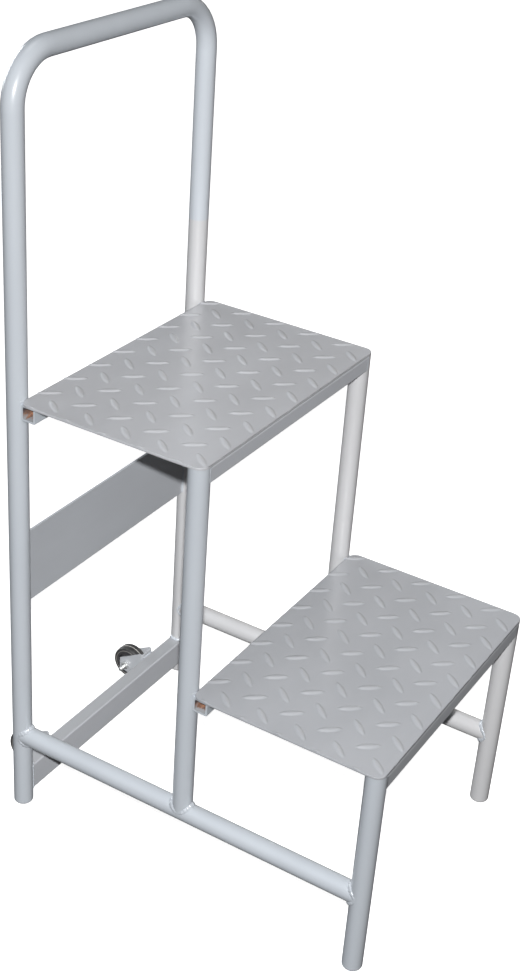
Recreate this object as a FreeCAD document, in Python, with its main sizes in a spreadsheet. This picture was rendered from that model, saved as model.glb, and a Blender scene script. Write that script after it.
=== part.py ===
import FreeCAD, Part
import math
import os

import Sketcher
from FreeCAD import Placement, Rotation, Vector

# Two-step platform stool in welded round tube, with a hoop handrail at the back
# and two rigid castors that touch the floor only when the stool is tilted back.
#
# Frame: millimetres, +Z up, the user climbs towards +Y, left is -X.  The origin is
# on the floor, in the middle of the footprint box.  Three rows of uprights stand one
# tread apart along Y: front legs, mid posts and the rear posts of the hoop.

DRIVING_SIZES = (
    ("post_spacing", 364.0, "left post axis to right post axis"),
    ("tread_run", 250.0, "one row of uprights to the next"),
    ("lower_rise", 300.0, "floor to the top face of the lower tread"),
    ("upper_rise", 600.0, "floor to the top face of the upper tread"),
    ("overall_height", 1000.0, "floor to the top of the hoop"),
    ("tube_diameter", 25.4, "round tube of the whole frame"),
    ("tube_wall", 1.5, "wall of the round tube"),
    ("hoop_bend_radius", 57.0, "centre line radius of the two hoop bends"),
    ("rail_height", 112.0, "floor to the axis of the side rails"),
    ("plate_thickness", 3.0, "chequer plate without its raised bars"),
    ("chequer_pitch_across", 48.0, "repeat of the raised bars along X"),
    ("chequer_pitch_along", 50.0, "repeat of the raised bars along Y"),
    ("chequer_first_across", 43.0, "left edge of a tread to the first bar"),
    ("chequer_first_along", 10.0, "rear edge of a tread to the first row"),
    ("chequer_angle", 50.0, "slant of a bar from X, in degrees"),
    ("chequer_length", 33.0, "length of one raised bar"),
    ("chequer_width", 9.0, "width of one raised bar"),
    ("chequer_height", 1.3, "height of a raised bar above the plate"),
    ("bar_size", 20.0, "outside of the square tube under the treads"),
    ("bar_wall", 2.5, "wall of the square tube"),
    ("bar_corner", 2.0, "outside corner radius of the square tube"),
    ("least_corner", 0.3, "least inside corner radius of a drawn tube"),
    ("bar_setback", 4.0, "tread side edge to the open end of a rear bar"),
    ("panel_height", 100.0, "height of the flat rear panel"),
    ("panel_top", 412.0, "floor to the top edge of the rear panel"),
    ("panel_thickness", 3.0, "thickness of the rear panel"),
    ("crossbar_height", 40.0, "height of the rectangular rear tube"),
    ("crossbar_depth", 20.0, "depth of the rectangular rear tube"),
    ("crossbar_wall", 2.0, "wall of the rectangular rear tube"),
    ("crossbar_corner", 2.5, "outside corner radius of the rear tube"),
    ("crossbar_clearance", 18.0, "floor to the underside of the rear tube"),
    ("weld_gap", 0.05, "fit-up gap where two pieces are welded"),
    ("plug_cap", 6.0, "height of a foot plug below its tube"),
    ("plug_round", 4.0, "rounded lower edge of a foot plug"),
    ("plug_spigot", 16.0, "length of a foot plug inside its tube"),
    ("left_castor_offset", 125.5, "centre plane of the stool to the left castor"),
    ("right_castor_offset", 113.5, "centre plane of the stool to the right castor"),
    ("wheel_diameter", 50.0, "castor wheel over its tyre"),
    ("wheel_width", 18.0, "castor wheel across its tyre"),
    ("wheel_gap", 2.0, "fork web to the tyre"),
    ("axle_height", 35.0, "floor to the castor axle"),
    ("tyre_depth", 6.0, "thickness of the tyre"),
    ("tyre_round", 3.0, "rounded shoulder of the tyre"),
    ("hub_length", 18.0, "length of the hub along the axle"),
    ("hub_boss_diameter", 18.0, "boss round the bore of the hub"),
    ("hub_web", 5.0, "thickness of the hub between boss and rim"),
    ("hub_rim", 3.0, "thickness of the hub rim under the tyre"),
    ("sleeve_diameter", 10.0, "outside of the axle sleeve"),
    ("sleeve_length", 18.5, "length of the axle sleeve"),
    ("running_clearance", 0.08, "radial gap between sleeve and hub"),
    ("axle_diameter", 6.0, "castor axle bolt"),
    ("axle_hole_clearance", 0.2, "radial gap round the bolt in its holes"),
    ("thread_gap", 0.05, "radial gap between bolt and nut"),
    ("bolt_length", 40.0, "axle bolt under its head"),
    ("bolt_head", 4.0, "height of the hexagon head"),
    ("nut_height", 5.0, "height of the nut"),
    ("hexagon_flats", 10.0, "across flats of head and nut"),
    ("washer_thickness", 1.0, "washer between fork and sleeve"),
    ("washer_diameter", 13.0, "outside of the washers"),
    ("fork_thickness", 2.0, "plate of the castor forks"),
    ("fork_bend", 3.5, "outside radius of the fork bends"),
    ("fork_shoulder", 1.5, "level top of a fork leg behind its bend"),
    ("fork_above_bar", 5.0, "fork web above the top of the rear tube"),
    ("fork_tip_reach", 11.0, "axle to the rear edge of a fork leg"),
    ("fork_tip_rise", 8.0, "axle to the upper rear corner of a fork leg"),
    ("fork_tip_drop", 10.0, "axle to the lower rear corner of a fork leg"),
)

LAYOUT = (
    ("tube_radius", "Sizes.tube_diameter / 2"),
    ("tube_bore", "Sizes.tube_diameter / 2 - Sizes.tube_wall"),
    ("cope_radius", "Sizes.tube_diameter / 2 + Sizes.weld_gap"),
    ("half_spacing", "Sizes.post_spacing / 2"),
    ("half_width", "Sizes.post_spacing / 2 + Sizes.tube_diameter / 2"),
    ("web_reach", "Sizes.crossbar_depth / 2 + Sizes.weld_gap"),
    ("axle_reach", "web_reach + Sizes.fork_thickness + Sizes.wheel_gap + Sizes.wheel_diameter / 2"),
    ("front_extent", "Sizes.tread_run + tube_radius"),
    ("rear_extent", "Sizes.tread_run + axle_reach + Sizes.wheel_diameter / 2"),
    ("mid_y", "(front_extent - rear_extent) / 2"),
    ("front_y", "mid_y - Sizes.tread_run"),
    ("rear_y", "mid_y + Sizes.tread_run"),
    ("tread_depth", "Sizes.tread_run - Sizes.weld_gap"),
    ("fork_gap", "Sizes.sleeve_length + 2 * Sizes.washer_thickness"),
    ("fork_width", "fork_gap + 2 * Sizes.fork_thickness"),
    ("axle_y", "rear_y + axle_reach"),
    ("web_y", "rear_y + web_reach"),
    ("hole_radius", "Sizes.axle_diameter / 2 + Sizes.axle_hole_clearance"),
    ("hub_radius", "Sizes.wheel_diameter / 2 - Sizes.tyre_depth"),
)

SIDES = {"left": -1, "right": 1}
TINY = 1e-6


# ------------------------------------------------------------------ the document

doc = FreeCAD.newDocument("step_stool")


def fill_sheet(name, rows):
    """A sheet with the alias, the value or formula, and a note in each row."""
    table = doc.addObject("Spreadsheet::Sheet", name)
    for number, row in enumerate(rows, start=1):
        alias, content = row[0], row[1]
        table.set("A%d" % number, alias)
        table.set("B%d" % number, content)
        table.setAlias("B%d" % number, alias)
        if len(row) > 2:
            table.set("C%d" % number, row[2])
    return table


sizes = fill_sheet("Sizes", [(alias, str(value), note) for alias, value, note in DRIVING_SIZES])
doc.recompute()
layout = fill_sheet("Layout", [(alias, "=" + formula) for alias, formula in LAYOUT])
doc.recompute()


def bind(thing, **expressions):
    """Bind properties to expressions; a double underscore stands for a dot."""
    for key, expression in expressions.items():
        thing.setExpression(key.replace("__", "."), expression)
    return thing


def place(thing, x="0", y="0", z="0"):
    """Bind the three coordinates of a placement."""
    bind(thing, Placement__Base__x=x, Placement__Base__y=y, Placement__Base__z=z)
    return thing


def signed(side, expression):
    """An X expression for the left or the right of the stool."""
    return "%d * (%s)" % (SIDES[side], expression)


def castor_x(side):
    """The X expression of one castor's centre."""
    return signed(side, "Sizes.%s_castor_offset" % side)


def measure(expression):
    """The present value of an expression on the sheets."""
    return float(sizes.evalExpression(expression))


sub_parts = []


def keep(thing, name):
    """Name a finished sub-part, which is then checked and written."""
    thing.Label = name
    sub_parts.append(thing)
    return thing


# -------------------------------------------------------------- modelling helpers

def cylinder(name, radius, height, x="0", y="0", z="0", along="Z"):
    """A bound cylinder from its start point along an axis."""
    rod = doc.addObject("Part::Cylinder", name)
    if along == "X":
        rod.Placement.Rotation = Rotation(Vector(0, 1, 0), 90)
    if along == "Y":
        rod.Placement.Rotation = Rotation(Vector(1, 0, 0), -90)
    bind(rod, Radius=radius, Height=height)
    return place(rod, x, y, z)


def box(name, wide, deep, high, x, y, z):
    """A bound box with its lowest corner at x, y, z."""
    block = doc.addObject("Part::Box", name)
    bind(block, Length=wide, Width=deep, Height=high)
    return place(block, x, y, z)


def cut(name, base, *tools):
    """Base without its tools."""
    tool = tools[0]
    if len(tools) > 1:
        tool = doc.addObject("Part::MultiFuse", name + "_tools")
        tool.Shapes = list(tools)
    result = doc.addObject("Part::Cut", name)
    result.Base = base
    result.Tool = tool
    return result


def new_sketch(body, name, plane, offset=None):
    """A sketch on one of the body's origin planes, moved along its normal by offset."""
    sketch = body.newObject("Sketcher::SketchObject", name)
    support = [item for item in body.Origin.OriginFeatures if item.Role == plane][0]
    sketch.AttachmentSupport = [(support, "")]
    sketch.MapMode = "FlatFace"
    if offset is not None:
        sketch.setExpression("AttachmentOffset.Base.z", offset)
    return sketch


def dimension(sketch, name, expression, kind, *elements):
    """Add a dimension under a name and bind it to an expression."""
    index = sketch.addConstraint(Sketcher.Constraint(kind, *elements, measure(expression)))
    sketch.renameConstraint(index, name)
    sketch.setExpression("Constraints." + name, expression)


def circle(sketch, name, radius, centre_x=None, centre_y=None):
    """A circle of a bound radius at the sketch origin or at bound coordinates."""
    start = Vector(measure(centre_x or "0"), measure(centre_y or "0"), 0)
    ring = sketch.addGeometry(Part.Circle(start, Vector(0, 0, 1), measure(radius)))
    if centre_x is None and centre_y is None:
        sketch.addConstraint(Sketcher.Constraint("Coincident", ring, 3, -1, 1))
    elif centre_y is None:
        sketch.addConstraint(Sketcher.Constraint("PointOnObject", ring, 3, -1))
        dimension(sketch, name + "_x", centre_x, "DistanceX", -1, 1, ring, 3)
    else:
        dimension(sketch, name + "_x", centre_x, "DistanceX", -1, 1, ring, 3)
        dimension(sketch, name + "_y", centre_y, "DistanceY", -1, 1, ring, 3)
    dimension(sketch, name, radius, "Radius", ring)


def outline(sketch, points):
    """A closed outline of straight lines through points of bound coordinates."""
    starts = [Vector(measure(x), measure(y), 0) for _, x, y in points]
    ends = starts[1:] + starts[:1]
    lines = [sketch.addGeometry(Part.LineSegment(start, end)) for start, end in zip(starts, ends)]
    for line, following in zip(lines, lines[1:] + lines[:1]):
        sketch.addConstraint(Sketcher.Constraint("Coincident", line, 2, following, 1))
    for line, (name, x, y) in zip(lines, points):
        dimension(sketch, name + "_x", x, "DistanceX", -1, 1, line, 1)
        dimension(sketch, name + "_y", y, "DistanceY", -1, 1, line, 1)


def rounded_rectangle(sketch, name, wide, high, corner):
    """A rectangle centred on the sketch origin, with four equal corner arcs."""
    reach_x, reach_y, radius = measure(wide) / 2, measure(high) / 2, measure(corner)
    signs = ((1, 1), (-1, 1), (-1, -1), (1, -1))
    arcs = []
    for quarter, (across, up) in enumerate(signs):
        centre = Vector(across * (reach_x - radius), up * (reach_y - radius), 0)
        ring = Part.Circle(centre, Vector(0, 0, 1), radius)
        start = quarter * math.pi / 2
        arcs.append(sketch.addGeometry(Part.ArcOfCircle(ring, start, start + math.pi / 2)))
    lines = []
    for arc, following in zip(arcs, arcs[1:] + arcs[:1]):
        edge = Part.LineSegment(sketch.getPoint(arc, 2), sketch.getPoint(following, 1))
        line = sketch.addGeometry(edge)
        sketch.addConstraint(Sketcher.Constraint("Tangent", arc, 2, line, 1))
        sketch.addConstraint(Sketcher.Constraint("Tangent", line, 2, following, 1))
        lines.append(line)
    top, left, bottom, right = lines
    sketch.addConstraint(Sketcher.Constraint("Horizontal", top))
    sketch.addConstraint(Sketcher.Constraint("Vertical", left))
    for arc in arcs[1:]:
        sketch.addConstraint(Sketcher.Constraint("Equal", arcs[0], arc))
    sketch.addConstraint(Sketcher.Constraint("Symmetric", arcs[0], 3, arcs[2], 3, -1, 1))
    dimension(sketch, name + "_corner", corner, "Radius", arcs[0])
    dimension(sketch, name + "_wide", wide, "DistanceX", left, 1, right, 2)
    dimension(sketch, name + "_high", high, "DistanceY", bottom, 1, top, 2)


def pad(body, sketch, length, midplane=False):
    """Extrude a sketch along its normal, or both ways from its plane."""
    feature = body.newObject("PartDesign::Pad", sketch.Name + "_pad")
    feature.Profile = sketch
    feature.Length = measure(length)
    feature.setExpression("Length", length)
    feature.Midplane = midplane
    doc.recompute()
    return feature


def pocket_through(body, sketch):
    """Cut a sketch through the whole body, both ways from its plane."""
    before = body.Shape.Volume
    feature = body.newObject("PartDesign::Pocket", sketch.Name + "_pocket")
    feature.Profile = sketch
    feature.Type = "ThroughAll"
    feature.Midplane = True
    doc.recompute()
    if body.Shape.Volume >= before:
        raise ValueError(sketch.Name + " cuts nothing")
    return feature


def revolve(body, sketch, axis):
    """Turn a sketch full circle about its own H_Axis or V_Axis."""
    feature = body.newObject("PartDesign::Revolution", sketch.Name + "_turn")
    feature.Profile = sketch
    feature.ReferenceAxis = (sketch, [axis])
    feature.Angle = 360
    doc.recompute()
    return feature


def round_edges(body, name, radius, test):
    """Round each edge of the body's present shape that passes a test."""
    base = body.Tip
    chosen = ["Edge%d" % index for index, edge in enumerate(base.Shape.Edges, start=1) if test(edge)]
    if not chosen:
        raise ValueError(name + " finds no edge")
    feature = body.newObject("PartDesign::Fillet", name)
    feature.Base = (base, chosen)
    feature.Radius = measure(radius)
    feature.setExpression("Radius", radius)
    doc.recompute()
    return feature


def is_circle(edge, radius):
    """Whether an edge is part of a circle of a radius."""
    return isinstance(edge.Curve, Part.Circle) and abs(edge.Curve.Radius - radius) < TINY


# ---------------------------------------------------------------- round tube frame

def post_envelope(name, side, row):
    """The cylinder that a post takes up, with its weld gap, used to shape what meets it."""
    return cylinder(name, "Layout.cope_radius", "Sizes.overall_height",
                    x=signed(side, "Layout.half_spacing"), y=row)


def make_hoop():
    """One tube bent twice: both rear posts and the handrail over the top."""
    body = doc.addObject("PartDesign::Body", "hoop_body")
    path = new_sketch(body, "hoop_path", "XZ_Plane")
    reach = measure("Layout.half_spacing")
    bend = measure("Sizes.hoop_bend_radius")
    top = measure("Sizes.overall_height - Layout.tube_radius")
    foot = measure("Sizes.plug_cap")
    near_ring = Part.Circle(Vector(bend - reach, top - bend, 0), Vector(0, 0, 1), bend)
    far_ring = Part.Circle(Vector(reach - bend, top - bend, 0), Vector(0, 0, 1), bend)
    left = path.addGeometry(Part.LineSegment(Vector(-reach, foot, 0), Vector(-reach, top - bend, 0)))
    near = path.addGeometry(Part.ArcOfCircle(near_ring, math.pi / 2, math.pi))
    bridge = path.addGeometry(Part.LineSegment(Vector(bend - reach, top, 0), Vector(reach - bend, top, 0)))
    far = path.addGeometry(Part.ArcOfCircle(far_ring, 0, math.pi / 2))
    right = path.addGeometry(Part.LineSegment(Vector(reach, top - bend, 0), Vector(reach, foot, 0)))
    path.addConstraint(Sketcher.Constraint("Tangent", left, 2, near, 2))
    path.addConstraint(Sketcher.Constraint("Tangent", near, 1, bridge, 1))
    path.addConstraint(Sketcher.Constraint("Tangent", bridge, 2, far, 2))
    path.addConstraint(Sketcher.Constraint("Tangent", far, 1, right, 1))
    path.addConstraint(Sketcher.Constraint("Horizontal", bridge))
    path.addConstraint(Sketcher.Constraint("Vertical", left))
    path.addConstraint(Sketcher.Constraint("Vertical", right))
    path.addConstraint(Sketcher.Constraint("Equal", near, far))
    path.addConstraint(Sketcher.Constraint("Symmetric", left, 1, right, 2, -2))
    dimension(path, "spacing", "Sizes.post_spacing", "DistanceX", left, 1, right, 2)
    dimension(path, "foot", "Sizes.plug_cap", "DistanceY", -1, 1, left, 1)
    dimension(path, "top", "Sizes.overall_height - Layout.tube_radius", "DistanceY", -1, 1, bridge, 1)
    dimension(path, "bend", "Sizes.hoop_bend_radius", "Radius", near)
    ring = new_sketch(body, "hoop_section", "XY_Plane", "Sizes.plug_cap")
    circle(ring, "outside", "Layout.tube_radius", centre_x="-Layout.half_spacing")
    circle(ring, "inside", "Layout.tube_bore", centre_x="-Layout.half_spacing")
    doc.recompute()
    pipe = body.newObject("PartDesign::AdditivePipe", "hoop_pipe")
    pipe.Profile = ring
    pipe.Spine = (path, ["Edge%d" % index for index in range(1, 6)])
    doc.recompute()
    place(body, y="Layout.rear_y")
    keep(body, "handrail_hoop")


def make_upright(name, side, row, foot, plate_top, *tools):
    """A straight upright tube from foot to the underside of a tread plate."""
    x = signed(side, "Layout.half_spacing")
    height = "%s - Sizes.plate_thickness - (%s)" % (plate_top, foot)
    outside = cylinder(name + "_outside", "Layout.tube_radius", height, x, row, foot)
    inside = cylinder(name + "_inside", "Layout.tube_bore", height, x, row, foot)
    keep(cut(name + "_tube", outside, inside, *tools), name)


def make_side(side):
    """The mid post, front leg and side rail of one side."""
    x = signed(side, "Layout.half_spacing")
    rail_length = "2 * Sizes.tread_run"
    rail_place = {"x": x, "y": "Layout.front_y", "z": "Sizes.rail_height", "along": "Y"}
    rail_envelope = cylinder(side + "_rail_envelope", "Layout.cope_radius", rail_length, **rail_place)
    make_upright(side + "_mid_post", side, "Layout.mid_y", "Sizes.rail_height",
                 "Sizes.upper_rise", rail_envelope)
    make_upright(side + "_front_leg", side, "Layout.front_y", "Sizes.plug_cap", "Sizes.lower_rise")
    outside = cylinder(side + "_rail_outside", "Layout.tube_radius", rail_length, **rail_place)
    inside = cylinder(side + "_rail_inside", "Layout.tube_bore", rail_length, **rail_place)
    rear = post_envelope(side + "_rail_rear_cope", side, "Layout.rear_y")
    front = post_envelope(side + "_rail_front_cope", side, "Layout.front_y")
    keep(cut(side + "_rail_tube", outside, inside, rear, front), side + "_side_rail")


def make_foot_plug(name, side, row):
    """A rounded plug that closes a leg: a cap as wide as the tube and a spigot inside it."""
    body = doc.addObject("PartDesign::Body", name + "_body")
    profile = new_sketch(body, name + "_profile", "XZ_Plane")
    spigot = "Layout.tube_bore - Sizes.weld_gap"
    outline(profile, (
        ("centre", "0", "0"),
        ("edge", "Layout.tube_radius", "0"),
        ("rim", "Layout.tube_radius", "Sizes.plug_cap - Sizes.weld_gap"),
        ("shoulder", spigot, "Sizes.plug_cap - Sizes.weld_gap"),
        ("end", spigot, "Sizes.plug_cap + Sizes.plug_spigot"),
        ("top", "0", "Sizes.plug_cap + Sizes.plug_spigot"),
    ))
    revolve(body, profile, "V_Axis")
    reach = measure("Layout.tube_radius")

    def is_sole(edge):
        """The rim of the face that stands on the floor."""
        return is_circle(edge, reach) and abs(edge.BoundBox.ZMax) < TINY

    round_edges(body, name + "_round", "Sizes.plug_round", is_sole)
    place(body, x=signed(side, "Layout.half_spacing"), y=row)
    keep(body, name)


# ------------------------------------------------------------ treads, bars, panel

def tread_prism(name, thickness, y, z):
    """The rounded outline of a tread, extruded: its corners match the posts."""
    body = doc.addObject("PartDesign::Body", name)
    sketch = new_sketch(body, name + "_outline", "XY_Plane")
    rounded_rectangle(sketch, "plate", "2 * Layout.half_width", "Layout.tread_depth",
                      "Layout.tube_radius")
    pad(body, sketch, thickness)
    return place(body, y=y, z=z)


def raised_bars(name, centre_y, top):
    """The raised bars of one tread: two slanted grids of lens-shaped prisms.

    Each lens is the overlap of two circles through its ends; the second grid slants the
    other way and stands half a pitch further both ways.  Both run past the plate.
    """
    pitch_x = measure("Sizes.chequer_pitch_across")
    pitch_y = measure("Sizes.chequer_pitch_along")
    slant = measure("Sizes.chequer_angle")
    length = measure("Sizes.chequer_length")
    width = measure("Sizes.chequer_width")
    sink = measure("Sizes.plate_thickness") / 2
    tall = measure("Sizes.chequer_height") + sink
    radius = (length * length + width * width) / (4 * width)
    offset = radius - width / 2
    upper = Part.makeCylinder(radius, tall, Vector(0, -offset, 0))
    lower = Part.makeCylinder(radius, tall, Vector(0, offset, 0))
    lens = upper.common(lower)
    wide = measure("2 * Layout.half_width")
    deep = measure("Layout.tread_depth")
    first_x = measure("Sizes.chequer_first_across") - wide / 2
    first_y = deep / 2 - measure("Sizes.chequer_first_along")
    middle = Vector(0, measure(centre_y), measure(top) - sink)
    lenses = []
    for turn, shift in ((-slant, 0.0), (slant, 0.5)):
        for column in range(-1, int(wide / pitch_x) + 2):
            for line in range(-1, int(deep / pitch_y) + 2):
                across = first_x + (column + shift) * pitch_x
                along = first_y - (line + shift) * pitch_y
                copy = lens.copy()
                spot = middle + Vector(across, along, 0)
                copy.Placement = Placement(spot, Rotation(Vector(0, 0, 1), turn))
                lenses.append(copy)
    bars = doc.addObject("Part::Feature", name)
    bars.Shape = Part.makeCompound(lenses)
    return bars


def make_tread(name, centre_y, rise):
    """A chequer plate: the plate and, cut to its outline, the raised bars."""
    plate = tread_prism(name + "_plate", "Sizes.plate_thickness", centre_y,
                        rise + " - Sizes.plate_thickness")
    trim = tread_prism(name + "_trim", "Sizes.plate_thickness + Sizes.chequer_height",
                       centre_y, rise + " - Sizes.plate_thickness")
    bars = doc.addObject("Part::Common", name + "_bars")
    bars.Base = raised_bars(name + "_grid", centre_y, rise)
    bars.Tool = trim
    whole = doc.addObject("Part::Fuse", name + "_chequer")
    whole.Base = plate
    whole.Tool = bars
    whole.Refine = False
    keep(whole, name)


def hollow_section(name, length, deep, high, wall, corner, y, z):
    """A rectangular tube along X, centred on y and z."""
    body = doc.addObject("PartDesign::Body", name)
    sketch = new_sketch(body, name + "_section", "YZ_Plane")
    rounded_rectangle(sketch, "outside", deep, high, corner)
    rounded_rectangle(sketch, "inside", "%s - 2 * %s" % (deep, wall),
                      "%s - 2 * %s" % (high, wall), "max(%s - %s; Sizes.least_corner)" % (corner, wall))
    pad(body, sketch, length, midplane=True)
    return place(body, y=y, z=z)


def bar_section(name, length, y, rise):
    """A square tube under a tread."""
    z = "%s - Sizes.plate_thickness - Sizes.weld_gap - Sizes.bar_size / 2" % rise
    return hollow_section(name, length, "Sizes.bar_size", "Sizes.bar_size", "Sizes.bar_wall",
                          "Sizes.bar_corner", y, z)


def between_posts(name, base, row):
    """Shape both ends of a cross member round the two posts of a row."""
    left = post_envelope(name + "_left_cope", "left", row)
    right = post_envelope(name + "_right_cope", "right", row)
    keep(cut(name + "_fitted", base, left, right), name)


def make_tread_bars(name, front_row, rear_row, rise):
    """The front bar between the posts of a row and the rear bar ahead of the next row."""
    front_y = "%s - Layout.tube_radius + Sizes.bar_size / 2" % front_row
    front = bar_section(name + "_front_section", "Sizes.post_spacing", front_y, rise)
    between_posts(name + "_front_bar", front, front_row)
    rear_y = "%s - Layout.cope_radius - Sizes.bar_size / 2" % rear_row
    rear_length = "2 * (Layout.half_width - Sizes.bar_setback)"
    keep(bar_section(name + "_rear_section", rear_length, rear_y, rise), name + "_rear_bar")


def make_rear_panel():
    """The flat plate between the rear posts, in the plane of their axes."""
    plate = box("panel_plate", "Sizes.post_spacing", "Sizes.panel_thickness", "Sizes.panel_height",
                "-Layout.half_spacing", "Layout.rear_y - Sizes.panel_thickness / 2",
                "Sizes.panel_top - Sizes.panel_height")
    between_posts("rear_panel", plate, "Layout.rear_y")


def make_crossbar():
    """The rectangular tube low between the rear posts, which carries the castors."""
    z = "Sizes.crossbar_clearance + Sizes.crossbar_height / 2"
    tube = hollow_section("crossbar_section", "Sizes.post_spacing", "Sizes.crossbar_depth",
                          "Sizes.crossbar_height", "Sizes.crossbar_wall",
                          "Sizes.crossbar_corner", "Layout.rear_y", z)
    between_posts("rear_crossbar", tube, "Layout.rear_y")


# ------------------------------------------------------------------------- castors

def make_fork(side):
    """A plate bent to a U: its web on the rear tube, its two legs tapering to the axle."""
    name = side + "_castor_fork"
    body = doc.addObject("PartDesign::Body", name + "_body")
    web_top = "Sizes.crossbar_clearance + Sizes.crossbar_height + Sizes.fork_above_bar - Sizes.axle_height"
    web_bottom = "Sizes.crossbar_clearance - Sizes.axle_height"
    tip = "Layout.axle_reach - Layout.web_reach + Sizes.fork_tip_reach"
    leg = new_sketch(body, name + "_leg", "YZ_Plane")
    outline(leg, (
        ("low_root", "0", web_bottom),
        ("low_tip", tip, "-Sizes.fork_tip_drop"),
        ("high_tip", tip, "Sizes.fork_tip_rise"),
        ("high_root", "Sizes.fork_bend + Sizes.fork_shoulder", web_top),
        ("top_edge", "0", web_top),
    ))
    pad(body, leg, "Layout.fork_width", midplane=True)
    gap = new_sketch(body, name + "_gap", "XY_Plane")
    half = "Layout.fork_gap / 2"
    beyond = "Layout.axle_reach + Sizes.wheel_diameter"
    outline(gap, (
        ("inner_left", "-" + half, "Sizes.fork_thickness"),
        ("inner_right", half, "Sizes.fork_thickness"),
        ("outer_right", half, beyond),
        ("outer_left", "-" + half, beyond),
    ))
    pocket_through(body, gap)
    hole = new_sketch(body, name + "_axle_hole", "YZ_Plane")
    circle(hole, "hole", "Layout.hole_radius", "Layout.axle_reach - Layout.web_reach", "0")
    pocket_through(body, hole)
    outer = measure("Layout.fork_width") / 2

    def is_bend(edge):
        """An upright edge of the web's back face, at either side."""
        bounds = edge.BoundBox
        upright = bounds.XLength < TINY and bounds.YLength < TINY
        return upright and abs(bounds.YMin) < TINY and abs(abs(bounds.XMin) - outer) < TINY

    round_edges(body, name + "_bend", "Sizes.fork_bend", is_bend)
    place(body, castor_x(side), "Layout.web_y", "Sizes.axle_height")
    keep(body, name)


def on_axle(thing, side):
    """Put a piece that is modelled about its own centre on the axle of one castor."""
    return place(thing, castor_x(side), "Layout.axle_y", "Sizes.axle_height")


def make_wheel(side):
    """The hub, which turns on the sleeve, and the tyre on its rim."""
    hub = doc.addObject("PartDesign::Body", side + "_wheel_hub_body")
    section = new_sketch(hub, side + "_hub_section", "XY_Plane")
    bore = "Sizes.sleeve_diameter / 2 + Sizes.running_clearance"
    boss = "Sizes.hub_boss_diameter / 2"
    rim = "Layout.hub_radius - Sizes.hub_rim"
    half_hub, half_web = "Sizes.hub_length / 2", "Sizes.hub_web / 2"
    half_rim = "Sizes.wheel_width / 2 - Sizes.tyre_round / 2"
    outline(section, (
        ("bore_left", "-" + half_hub, bore),
        ("bore_right", half_hub, bore),
        ("boss_right", half_hub, boss),
        ("web_right", half_web, boss),
        ("well_right", half_web, rim),
        ("lip_right", half_rim, rim),
        ("rim_right", half_rim, "Layout.hub_radius"),
        ("rim_left", "-(%s)" % half_rim, "Layout.hub_radius"),
        ("lip_left", "-(%s)" % half_rim, rim),
        ("well_left", "-" + half_web, rim),
        ("web_left", "-" + half_web, boss),
        ("boss_left", "-" + half_hub, boss),
    ))
    revolve(hub, section, "H_Axis")
    keep(on_axle(hub, side), side + "_wheel_hub")
    tyre = doc.addObject("PartDesign::Body", side + "_wheel_tyre_body")
    ring = new_sketch(tyre, side + "_tyre_section", "XY_Plane")
    half, tread = "Sizes.wheel_width / 2", "Sizes.wheel_diameter / 2"
    outline(ring, (
        ("seat_left", "-" + half, "Layout.hub_radius"),
        ("seat_right", half, "Layout.hub_radius"),
        ("tread_right", half, tread),
        ("tread_left", "-" + half, tread),
    ))
    revolve(tyre, ring, "H_Axis")
    reach = measure(tread)

    def is_shoulder(edge):
        """A rim of the running face, at either side."""
        return is_circle(edge, reach)

    round_edges(tyre, side + "_tyre_round", "Sizes.tyre_round", is_shoulder)
    keep(on_axle(tyre, side), side + "_wheel_tyre")


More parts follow.
